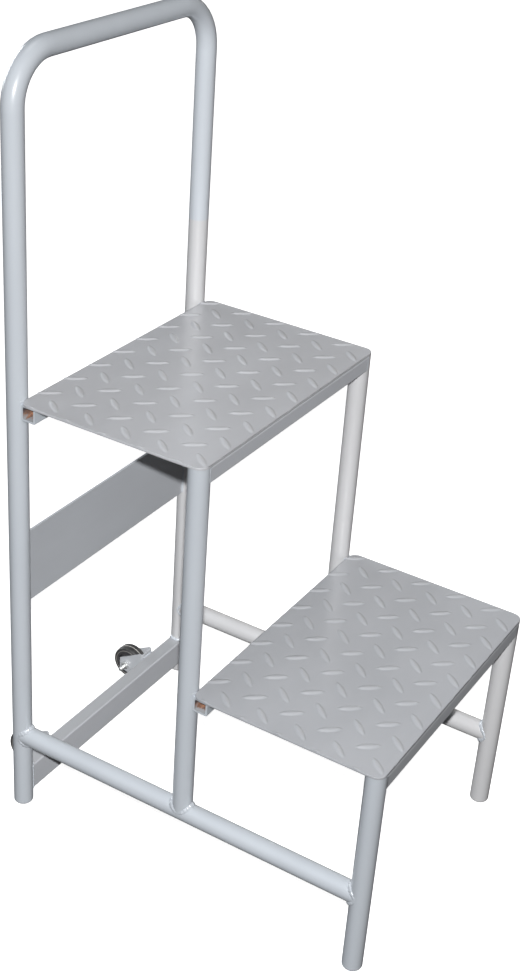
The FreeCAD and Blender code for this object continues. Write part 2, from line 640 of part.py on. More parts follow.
def make_axle(side):
    """The bolt, sleeve, two washers and nut that hold one wheel in its fork.

    The bolt's head is on the outer side of the stool and its nut on the inner side.
    """
    outward = SIDES[side]
    centre_x = castor_x(side)

    def turned(name, radius, length, start):
        """A cylinder along the axle from start to start + length, measured outwards."""
        if outward > 0:
            x = "%s + (%s)" % (centre_x, start)
        else:
            x = "%s - (%s) - (%s)" % (centre_x, start, length)
        return cylinder(name, radius, length, x, "Layout.axle_y", "Sizes.axle_height", "X")

    def hexagon(name, length, start):
        """A hexagonal prism along the axle, placed as turned places a cylinder."""
        prism = doc.addObject("Part::Prism", name)
        prism.Polygon = 6
        prism.Placement.Rotation = Rotation(Vector(0, 1, 0), 90)
        bind(prism, Circumradius="Sizes.hexagon_flats / sqrt(3)", Height=length)
        offset = start if outward > 0 else "-(%s) - (%s)" % (start, length)
        return place(prism, "%s + %s" % (centre_x, offset), "Layout.axle_y", "Sizes.axle_height")

    sleeve = side + "_axle_sleeve"
    start = "-Sizes.sleeve_length / 2"
    tube = turned(sleeve + "_outside", "Sizes.sleeve_diameter / 2", "Sizes.sleeve_length", start)
    bore = turned(sleeve + "_bore", "Layout.hole_radius", "Sizes.sleeve_length", start)
    keep(cut(sleeve + "_tube", tube, bore), sleeve)

    washers = side + "_axle_washers"
    rings = []
    for end, start in (("inner", "-Layout.fork_gap / 2"), ("outer", "Sizes.sleeve_length / 2")):
        disc = turned("%s_%s_disc" % (washers, end), "Sizes.washer_diameter / 2",
                      "Sizes.washer_thickness", start)
        hole = turned("%s_%s_hole" % (washers, end), "Layout.hole_radius",
                      "Sizes.washer_thickness", start)
        rings.append(cut("%s_%s" % (washers, end), disc, hole))
    pair = doc.addObject("Part::Compound", washers + "_pair")
    pair.Links = rings
    keep(pair, washers)

    bolt = side + "_axle_bolt"
    shank_start = "Layout.fork_width / 2 - Sizes.bolt_length"
    shank = turned(bolt + "_shank", "Sizes.axle_diameter / 2", "Sizes.bolt_length", shank_start)
    head = hexagon(bolt + "_head", "Sizes.bolt_head", "Layout.fork_width / 2")
    whole = doc.addObject("Part::Fuse", bolt + "_whole")
    whole.Base = shank
    whole.Tool = head
    keep(whole, bolt)

    nut = side + "_axle_nut"
    nut_start = "-Layout.fork_width / 2 - Sizes.nut_height"
    block = hexagon(nut + "_block", "Sizes.nut_height", nut_start)
    thread = turned(nut + "_thread", "Sizes.axle_diameter / 2 + Sizes.thread_gap",
                    "Sizes.nut_height", nut_start)
    keep(cut(nut + "_cut", block, thread), nut)


# ------------------------------------------------------------------- the whole stool

def check(things):
    """Stop unless every object is computed and each sub-part is a valid solid."""
    for thing in doc.Objects:
        if "Invalid" in thing.State or "Error" in thing.State:
            raise ValueError("%s is in state %s" % (thing.Name, thing.State))
    for thing in things:
        if thing.Shape.isNull() or not thing.Shape.isValid() or not thing.Shape.Solids:
            raise ValueError(thing.Label + " has no valid solid")


make_hoop()
for each_side in SIDES:
    make_side(each_side)
    make_foot_plug(each_side + "_rear_foot_plug", each_side, "Layout.rear_y")
    make_foot_plug(each_side + "_front_foot_plug", each_side, "Layout.front_y")
    make_fork(each_side)
    make_wheel(each_side)
    make_axle(each_side)
make_tread("upper_tread", "Layout.mid_y - Layout.tube_radius + Layout.tread_depth / 2",
           "Sizes.upper_rise")
make_tread("lower_tread", "Layout.front_y - Layout.tube_radius + Layout.tread_depth / 2",
           "Sizes.lower_rise")
make_tread_bars("upper", "Layout.mid_y", "Layout.rear_y", "Sizes.upper_rise")
make_tread_bars("lower", "Layout.front_y", "Layout.mid_y", "Sizes.lower_rise")
make_rear_panel()
make_crossbar()
doc.recompute()
check(sub_parts)

os.makedirs("parts", exist_ok=True)
for sub_part in sub_parts:
    sub_part.Shape.exportStep(os.path.join("parts", sub_part.Label + ".step"))
    volume = sub_part.Shape.Volume
    print("%-24s solids %d  volume %.1f mm3" % (sub_part.Label, len(sub_part.Shape.Solids), volume))
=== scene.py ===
"""Looks of a two-step platform stool: enamel, chequer treads, welds, castors and studio.

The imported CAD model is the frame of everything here.  Lengths are in metres, +Z is up,
the user climbs towards +Y and left is -X.  Each sub-assembly is a class that builds its
own meshes as numpy surfaces and dresses its own CAD nodes; each finish is a frozen
dataclass that builds one node material.
"""

import logging
import math
from dataclasses import dataclass, field
from enum import Enum
from types import MappingProxyType
from typing import Any, Dict, List, Mapping, Sequence, Tuple

import bpy
import numpy as np
from mathutils import Matrix, Vector

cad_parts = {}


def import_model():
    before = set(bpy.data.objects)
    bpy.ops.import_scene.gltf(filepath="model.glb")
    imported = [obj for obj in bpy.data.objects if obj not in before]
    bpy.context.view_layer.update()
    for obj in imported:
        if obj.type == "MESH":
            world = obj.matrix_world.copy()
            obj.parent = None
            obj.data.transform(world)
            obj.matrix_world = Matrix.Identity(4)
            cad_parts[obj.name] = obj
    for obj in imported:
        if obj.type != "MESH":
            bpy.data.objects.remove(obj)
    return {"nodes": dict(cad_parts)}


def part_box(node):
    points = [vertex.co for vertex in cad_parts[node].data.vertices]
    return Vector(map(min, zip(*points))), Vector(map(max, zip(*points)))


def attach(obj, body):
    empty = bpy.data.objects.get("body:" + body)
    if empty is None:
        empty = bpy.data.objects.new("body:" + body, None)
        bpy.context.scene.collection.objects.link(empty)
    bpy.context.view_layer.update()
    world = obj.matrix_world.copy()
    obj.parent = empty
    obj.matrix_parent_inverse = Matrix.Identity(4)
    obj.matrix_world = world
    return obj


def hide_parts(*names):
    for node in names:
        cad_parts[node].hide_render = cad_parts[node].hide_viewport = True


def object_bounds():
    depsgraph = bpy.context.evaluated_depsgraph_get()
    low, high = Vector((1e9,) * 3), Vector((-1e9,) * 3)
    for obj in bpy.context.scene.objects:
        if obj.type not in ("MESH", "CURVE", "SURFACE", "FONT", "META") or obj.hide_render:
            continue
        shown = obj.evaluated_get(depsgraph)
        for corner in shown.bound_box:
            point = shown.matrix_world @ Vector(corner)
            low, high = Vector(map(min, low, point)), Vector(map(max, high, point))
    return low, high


frame: Dict[str, Any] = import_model()
CAD_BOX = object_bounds()

MM = 0.001
TINY = 1e-9
FULL_TURN = 2.0 * math.pi

log = logging.getLogger("platform_stool")


class Side(Enum):
    """The two sides of the stool, with the sign of X on each."""

    LEFT = -1
    RIGHT = 1

    @property
    def word(self) -> str:
        """The side's name as it stands in node names."""
        return self.name.lower()


class Slot(Enum):
    """The material slots of the record."""

    FRAME = "frame_enamel"
    TREAD = "tread_enamel"
    CASTOR = "castor_enamel"
    ZINC = "zinc_steel"
    PLASTIC = "wheel_plastic"
    RUBBER = "wheel_rubber"


# ---- measurements

def middle(node: str) -> Vector:
    """The centre of a CAD node's box."""
    low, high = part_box(node)
    return (low + high) / 2


@dataclass(frozen=True)
class Layout:
    """Where the frame's tubes run, read from the CAD nodes.

    Args:
        tube_radius: outside radius of the round tube.
        half_spacing: centre plane to the axis of a post.
        front_y: axis row of the front legs.
        mid_y: axis row of the mid posts.
        rear_y: axis row of the rear posts.
        rail_z: height of the side rails' axes.
    """

    tube_radius: float
    half_spacing: float
    front_y: float
    mid_y: float
    rear_y: float
    rail_z: float

    @classmethod
    def read(cls) -> "Layout":
        """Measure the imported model.

        Returns:
            The measured layout.
        """
        leg, post, rail = (middle("right_" + name) for name in ("front_leg", "mid_post", "side_rail"))
        low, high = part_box("right_front_leg")
        return cls(
            tube_radius=(high.x - low.x) / 2,
            half_spacing=leg.x,
            front_y=leg.y,
            mid_y=post.y,
            rear_y=middle("handrail_hoop").y,
            rail_z=rail.z,
        )


# ---- mesh helpers

def smooth_step(value: np.ndarray) -> np.ndarray:
    """Rise from 0 to 1 with level ends: t squared times (3 minus 2 t), t clipped to 0 to 1."""
    share = np.clip(value, 0.0, 1.0)
    return share * share * (3.0 - 2.0 * share)


def grid_quads(rows: int, columns: int, round_rows: bool, round_columns: bool) -> np.ndarray:
    """Corner indices of the quads of a grid of points.

    Args:
        rows: number of rows of points.
        columns: number of points in a row.
        round_rows: whether the last row joins the first.
        round_columns: whether the last column joins the first.

    Returns:
        An array with four indices a quad; point (i, j) has index i * columns + j.
    """
    i = np.arange(rows if round_rows else rows - 1)[:, None]
    j = np.arange(columns if round_columns else columns - 1)[None, :]
    next_i, next_j = (i + 1) % rows, (j + 1) % columns
    corners = (i * columns + j, i * columns + next_j, next_i * columns + next_j, next_i * columns + j)
    return np.stack([np.broadcast_to(c, (i.size, j.size)) for c in corners], axis=-1).reshape(-1, 4)


def build(name: str, points: np.ndarray, faces: Sequence[Sequence[int]],
          sharp_degrees: float = 40.0) -> bpy.types.Object:
    """A smooth-shaded mesh object at the origin, with edges sharp past an angle.

    Args:
        name: the piece's name.
        points: one row of x, y, z for each vertex.
        faces: vertex indices of each face, anticlockwise from outside.
        sharp_degrees: the turn between two faces past which their edge is sharp.

    Returns:
        The new object, linked to the scene.
    """
    mesh = bpy.data.meshes.new(name)
    mesh.from_pydata(points, [], faces)
    mesh.polygons.foreach_set("use_smooth", np.ones(len(mesh.polygons), dtype=bool))
    mesh.set_sharp_from_angle(angle=math.radians(sharp_degrees))
    mesh.validate()
    mesh.update()
    thing = bpy.data.objects.new(name, mesh)
    bpy.context.scene.collection.objects.link(thing)
    return thing


def surface(name: str, grid: np.ndarray, round_rows: bool = False, round_columns: bool = False,
            capped: bool = False, sharp_degrees: float = 40.0) -> bpy.types.Object:
    """A mesh from a grid of points, with its two end rows closed by flat faces if capped.

    Args:
        name: the piece's name.
        grid: points in rows and columns, three coordinates each.
        round_rows: whether the last row joins the first.
        round_columns: whether the last column joins the first.
        capped: whether a face closes the first and the last row.
        sharp_degrees: the turn past which an edge is sharp.

    Returns:
        The new object.
    """
    rows, columns = grid.shape[:2]
    faces = grid_quads(rows, columns, round_rows, round_columns).tolist()
    if capped:
        ring = np.arange(columns)
        faces.append(ring[::-1].tolist())
        faces.append((ring + (rows - 1) * columns).tolist())
    return build(name, grid.reshape(-1, 3), faces, sharp_degrees)


def mark(piece: bpy.types.Object, name: str, values: np.ndarray) -> None:
    """Give each vertex of a piece a number that its finish reads by name."""
    attribute = piece.data.attributes.new(name, "FLOAT", "POINT")
    attribute.data.foreach_set("value", values.astype(np.float32))


# ---- materials

class Nodes:
    """A short way to write a node material.

    The Mix node has a set of sockets for each kind of data; these are the places of its
    two colours and of the colour that it gives.
    """

    MIX_A, MIX_B, MIX_RESULT = 6, 7, 2

    def __init__(self, name: str) -> None:
        """Start a material whose Principled shader feeds its output."""
        self.material = bpy.data.materials.new(name)
        self.material.use_nodes = True
        self.tree = self.material.node_tree
        self.shader = self.tree.nodes["Principled BSDF"]
        self.place = self.add("ShaderNodeTexCoord").outputs["Object"]

    def put(self, socket: bpy.types.NodeSocket, value: Any) -> None:
        """Feed a socket.

        Args:
            socket: the input to feed.
            value: an output to link to it, or the value that it takes.
        """
        if isinstance(value, bpy.types.NodeSocket):
            self.tree.links.new(value, socket)
        else:
            socket.default_value = value

    def add(self, kind: str, inputs: Mapping[Any, Any] = MappingProxyType({}),
            **settings: Any) -> bpy.types.Node:
        """Add a node.

        Args:
            kind: the node's type name.
            inputs: for each input socket, a value or the output that feeds it.
            settings: properties of the node itself.

        Returns:
            The new node.
        """
        node = self.tree.nodes.new(kind)
        for key, value in settings.items():
            setattr(node, key, value)
        for key, value in inputs.items():
            self.put(node.inputs[key], value)
        return node

    def axis(self, letter: str) -> bpy.types.NodeSocket:
        """One coordinate of the point on the object: X, Y or Z."""
        return self.add("ShaderNodeSeparateXYZ", {0: self.place}).outputs[letter]

    def painted(self, name: str) -> bpy.types.NodeSocket:
        """The number that the vertices carry under a name."""
        return self.add("ShaderNodeAttribute", attribute_name=name).outputs["Fac"]

    def noise(self, scale: float, detail: float = 3.0, stretch: Tuple[float, float, float] = (1, 1, 1),
              roughness: float = 0.55) -> bpy.types.NodeSocket:
        """Noise over the object.

        Args:
            scale: number of features a metre.
            detail: how many finer layers it has.
            stretch: a scale along each axis; below 1 the noise is drawn out along it.
            roughness: how strong the finer layers are.

        Returns:
            The noise's value.
        """
        turned_place = self.add("ShaderNodeMapping", {"Vector": self.place, "Scale": stretch})
        sockets = {"Vector": turned_place.outputs[0], "Scale": scale, "Detail": detail,
                   "Roughness": roughness}
        return self.add("ShaderNodeTexNoise", sockets).outputs["Fac"]

    def ramp(self, value: bpy.types.NodeSocket, low: float, high: float, start: float = 0.0,
             end: float = 1.0) -> bpy.types.NodeSocket:
        """Map a value from low..high to start..end, clamped."""
        sockets = {"Value": value, "From Min": low, "From Max": high, "To Min": start, "To Max": end}
        return self.add("ShaderNodeMapRange", sockets).outputs["Result"]

    def math(self, operation: str, first: Any, second: Any = 0.0) -> bpy.types.NodeSocket:
        """One arithmetic step."""
        return self.add("ShaderNodeMath", {0: first, 1: second}, operation=operation).outputs[0]

    def mix(self, share: Any, first: Any, second: Any) -> bpy.types.NodeSocket:
        """Blend two colours."""
        sockets = {0: share, self.MIX_A: first, self.MIX_B: second}
        return self.add("ShaderNodeMix", sockets, data_type="RGBA").outputs[self.MIX_RESULT]

    def bump(self, height: bpy.types.NodeSocket, depth: float, under: Any = None) -> bpy.types.NodeSocket:
        """A bump whose full height is depth, laid over another bump if one is given."""
        sockets = {"Height": height, "Strength": 1.0, "Distance": depth}
        if under is not None:
            sockets["Normal"] = under
        return self.add("ShaderNodeBump", sockets).outputs["Normal"]

    def feed(self, **sockets: Any) -> bpy.types.Material:
        """Set or link the shader's sockets.

        Args:
            sockets: values by socket name, with an underscore for a space.

        Returns:
            The finished material.
        """
        for key, value in sockets.items():
            self.put(self.shader.inputs[key.replace("_", " ")], value)
        return self.material


Colour = Tuple[float, float, float]
WARM_GREY: Colour = (0.575, 0.575, 0.585)
TREADS = ("upper_tread", "lower_tread")


def rgba(colour: Colour) -> Tuple[float, float, float, float]:
    """An opaque colour."""
    return (*colour, 1.0)


@dataclass(frozen=True)
class Enamel:
    """Glossy sprayed enamel with slight orange peel and uneven cover.

    Args:
        name: the material's name.
        light: colour where the coat is thick.
        dark: colour where it is thin.
        gloss: shader roughness in the smoothest places.
        haze: shader roughness in the dullest places.
        peel: depth of the orange peel.
        streak: stretch of the cover along X, Y and Z.
        crest: lighter colour of the bar tops, part wear and part painted highlight, where the piece has
            the attribute.
        warm: a warmer grey on the right side below a height, where there is one.
        warm_below: that height.
        painted_top_shade: colour of a painted shade over the top above another height, where there is one.
        painted_top_shade_above: that height.
    """

    BLEND = 1.5 * MM

    name: str
    light: Colour = (0.545, 0.580, 0.622)
    dark: Colour = (0.520, 0.553, 0.595)
    gloss: float = 0.30
    haze: float = 0.36
    peel: float = 0.010 * MM
    streak: Tuple[float, float, float] = (1.0, 1.0, 0.25)
    crest: Tuple[float, ...] = ()
    warm: Tuple[float, ...] = ()
    warm_below: float = 0.0
    painted_top_shade: Tuple[float, ...] = ()
    painted_top_shade_above: float = 0.0

    def coat(self, nodes: Nodes) -> bpy.types.NodeSocket:
        """The coat's colour: two shades in soft patches, a warmer grey on the right below a height where
        set, a painted shade over the top above another height where set, and fine specks of grime.

        Args:
            nodes: the material that the colour is for.

        Returns:
            The colour.
        """
        cover = nodes.ramp(nodes.noise(14.0, 4.0, self.streak), 0.34, 0.66)
        colour = nodes.mix(cover, rgba(self.light), rgba(self.dark))
        if self.warm:
            low = nodes.ramp(nodes.axis("Z"), self.warm_below, self.warm_below + self.BLEND, 1.0, 0.0)
            right = nodes.math("GREATER_THAN", nodes.axis("X"), 0.0)
            colour = nodes.mix(nodes.math("MULTIPLY", low, right), colour, rgba(self.warm))
        # Painted shade: a darker colour over the top above a height.
        if self.painted_top_shade:
            high = nodes.ramp(nodes.axis("Z"), self.painted_top_shade_above, self.painted_top_shade_above + self.BLEND)
            colour = nodes.mix(high, colour, rgba(self.painted_top_shade))
        grime = nodes.ramp(nodes.noise(160.0, 6.0, roughness=0.65), 0.62, 0.80, 0.0, 0.10)
        return nodes.mix(grime, colour, rgba(tuple(0.8 * part for part in self.dark)))

    def relief(self, nodes: Nodes) -> bpy.types.NodeSocket:
        """Fine orange peel over long shallow ripples."""
        peel = nodes.bump(nodes.noise(420.0, 2.0), self.peel)
        return nodes.bump(nodes.noise(70.0, 2.0), 2.0 * self.peel, peel)

    def material(self) -> bpy.types.Material:
        """Build the coat.

        Returns:
            The finished material.
        """
        nodes = Nodes(self.name)
        colour = self.coat(nodes)
        if self.crest:
            # Lighter bar tops: part wear, part painted highlight.
            worn_and_highlit = nodes.ramp(nodes.painted(ChequerTread.HEIGHT), 0.4, 1.0, 0.0, 0.4)
            colour = nodes.mix(worn_and_highlit, colour, rgba(self.crest))
        dull = nodes.ramp(nodes.noise(30.0, 5.0), 0.35, 0.65, self.gloss, self.haze)
        return nodes.feed(Base_Color=colour, Roughness=dull, Normal=self.relief(nodes),
                          Coat_Weight=0.45, Coat_Roughness=0.15, IOR=1.5)


@dataclass(frozen=True)
class RustyBore:
    """Enamel outside and bare rusted steel inside a square tube along X.

    Args:
        coat: the enamel on the outside.
        centre: the middle of the tube.
        bore: half the width of the bore.
        end: distance from the tube's middle to its open ends.
        rust_dark: colour of the old rust.
        rust_bright: colour of the fresh rust.
        shadow: colour of the bore under its upper wall.
        overspray: colour of the spray that has reached inside.
    """

    coat: Enamel
    centre: Vector
    bore: float
    end: float
    rust_dark: Colour = (0.20, 0.12, 0.09)
    rust_bright: Colour = (0.50, 0.25, 0.15)
    shadow: Colour = (0.045, 0.05, 0.06)
    overspray: Colour = (0.40, 0.41, 0.43)

    def material(self) -> bpy.types.Material:
        """Build the coat, then mix rust in wherever a point lies inside the bore.

        The bore darkens towards its upper wall in a painted shadow, and spray has reached
        its lower half near the open ends in ragged patches.

        Returns:
            The finished material.
        """
        nodes = Nodes(self.coat.name)
        above = nodes.math("SUBTRACT", nodes.axis("Z"), self.centre.z)
        aside = nodes.math("ABSOLUTE", nodes.math("SUBTRACT", nodes.axis("Y"), self.centre.y))
        off = nodes.math("MAXIMUM", aside, nodes.math("ABSOLUTE", above))
        depth = nodes.math("SUBTRACT", self.end, nodes.math("ABSOLUTE", nodes.axis("X")))
        deep = nodes.ramp(depth, 0.05 * MM, 0.3 * MM)
        inside = nodes.math("MULTIPLY", nodes.math("LESS_THAN", off, 1.03 * self.bore), deep)
        blotch = nodes.ramp(nodes.noise(150.0, 6.0, roughness=0.7), 0.42, 0.62)
        rust = nodes.mix(blotch, rgba(self.rust_dark), rgba(self.rust_bright))
        # Painted shadow: the bore darkens towards its upper wall.
        shade = nodes.ramp(above, -0.4 * self.bore, 0.5 * self.bore, 0.0, 0.95)
        rust = nodes.mix(shade, rust, rgba(self.shadow))
        ragged = nodes.ramp(nodes.noise(190.0, 5.0, (0.4, 1.0, 1.0)), 0.35, 0.65, 0.0, 10.0 * MM)
        reach = nodes.math("SUBTRACT", nodes.math("ADD", ragged, 4.0 * MM), depth)
        low = nodes.ramp(above, -0.95 * self.bore, 0.1 * self.bore, 1.0, 0.0)
        spray = nodes.math("MULTIPLY", nodes.ramp(reach, 0.0, 4.0 * MM), low)
        coat = self.coat.coat(nodes)
        rust = nodes.mix(spray, rust, rgba(self.overspray))
        dull = nodes.ramp(inside, 0.0, 1.0, self.coat.gloss, 0.85)
        return nodes.feed(Base_Color=nodes.mix(inside, coat, rust), Roughness=dull,
                          Normal=self.coat.relief(nodes))


@dataclass(frozen=True)
class Zinc:
    """Bright zinc plate with fine turning marks round the axle.

    Args:
        name: the material's name.
        bright: colour of the clean plate.
        cloudy: colour where it has dulled.
    """

    name: str
    bright: Colour = (0.80, 0.81, 0.80)
    cloudy: Colour = (0.55, 0.56, 0.56)

    def material(self) -> bpy.types.Material:
        """Build the plate.

        Returns:
            The finished material.
        """
        nodes = Nodes(self.name)
        cloud = nodes.ramp(nodes.noise(240.0, 4.0), 0.35, 0.7)
        colour = nodes.mix(cloud, rgba(self.bright), rgba(self.cloudy))
        marks = nodes.bump(nodes.noise(900.0, 2.0, (6.0, 1.0, 1.0)), 0.03 * MM)
        dull = nodes.ramp(cloud, 0.0, 1.0, 0.38, 0.55)
        return nodes.feed(Base_Color=colour, Roughness=dull, Metallic=0.8, Normal=marks)


@dataclass(frozen=True)
class Moulded:
    """Moulded plastic or rubber, dusty where it has rolled, with a pale painted highlight on the seams
    where marked.

    Args:
        name: the material's name.
        colour: the material itself.
        dust: colour of the dust on it.
        dusty: how much dust there is at most.
        gloss: shader roughness of the clean surface.
        grain: depth of the moulded grain.
        seam: name of the attribute that marks the seams that get the painted highlight, where the piece
            has it.
    """

    PAINTED_HIGHLIGHT_GREY = (0.52, 0.50, 0.47)

    name: str
    colour: Colour
    dust: Colour
    dusty: float
    gloss: float
    grain: float
    seam: str = ""

    def material(self) -> bpy.types.Material:
        """Build the moulding.

        Returns:
            The finished material.
        """
        nodes = Nodes(self.name)
        dust = nodes.ramp(nodes.noise(130.0, 6.0, roughness=0.7), 0.42, 0.75, 0.0, self.dusty)
        colour = nodes.mix(dust, rgba(self.colour), rgba(self.dust))
        if self.seam:
            # Painted highlight: pale grey along the marked seams.
            colour = nodes.mix(nodes.painted(self.seam), colour, rgba(self.PAINTED_HIGHLIGHT_GREY))
        grain = nodes.bump(nodes.noise(1500.0, 3.0), self.grain)
        dull = nodes.ramp(dust, 0.0, self.dusty, self.gloss, min(1.0, self.gloss + 0.3))
        return nodes.feed(Base_Color=colour, Roughness=dull, Normal=grain)


class Finishes:
    """The finishes of this stool, each built once."""

    def __init__(self) -> None:
        """Build every material."""
        self.frame = Enamel("post_enamel").material()
        self.warm = Enamel("warm_enamel", light=WARM_GREY, dark=(0.545, 0.545, 0.555)).material()
        self.hoop = Enamel("hoop_enamel", warm=WARM_GREY, warm_below=0.713).material()
        # Each crest colour makes the bar tops lighter: part wear, part painted highlight.
        self.tread = {
            tread: Enamel(tread + "_enamel", light=light, dark=dark, crest=crest, haze=0.40,
                          peel=0.012 * MM, streak=(0.5, 1.0, 1.0)).material()
            for tread, light, dark, crest in (
                (TREADS[0], (0.530, 0.538, 0.563), (0.495, 0.502, 0.525), (0.570, 0.578, 0.602)),
                (TREADS[1], (0.438, 0.449, 0.474), (0.405, 0.416, 0.440), (0.485, 0.495, 0.518)))
        }
        along = (0.3, 1.0, 1.0)
        tube = {"light": (0.600, 0.617, 0.655), "dark": (0.566, 0.583, 0.618), "streak": along}
        self.panel = Enamel("panel_enamel", (0.515, 0.536, 0.570), (0.486, 0.505, 0.537),
                            streak=along).material()
        self.bar = Enamel("bar_enamel", **tube).material()
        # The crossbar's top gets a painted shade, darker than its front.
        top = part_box("rear_crossbar")[1].z - Enamel.BLEND
        self.crossbar = Enamel("crossbar_enamel", painted_top_shade=(0.395, 0.405, 0.425), painted_top_shade_above=top,
                               **tube).material()
        self.fork = Enamel("fork_enamel", (0.52, 0.54, 0.57), (0.46, 0.475, 0.50)).material()
        self.zinc = Zinc("bright_zinc").material()
        self.plastic = Moulded("hub_plastic", (0.035, 0.035, 0.04), (0.16, 0.155, 0.15), 0.4, 0.38,
                               0.02 * MM).material()
        self.rubber = Moulded("tyre_rubber", (0.035, 0.035, 0.037), (0.15, 0.145, 0.135), 0.5, 0.42,
                              0.02 * MM, Castor.SEAM).material()


def dress(node: str, material: bpy.types.Material) -> None:
    """Give a CAD node its finish.

    Args:
        node: the node's name.
        material: its finish.
    """
    slots = frame["nodes"][node].data.materials
    slots.clear()
    slots.append(material)
    log.info("dressed %s in %s", node, material.name)


def finish_piece(piece: bpy.types.Object, material: bpy.types.Material, slot: Slot, body: str,
                 *replaced: str) -> None:
    """Dress a new piece and tie it to the frame.

    Args:
        piece: the new object.
        material: its finish.
        slot: the record's slot for that finish; not used.
        body: the CAD body that it moves with.
        replaced: CAD nodes that it stands for.
    """
    piece.data.materials.append(material)
    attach(piece, body)
    if replaced:
        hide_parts(*replaced)
    log.info("built %s, %d faces, on %s", piece.name, len(piece.data.polygons), body)


# ---- treads

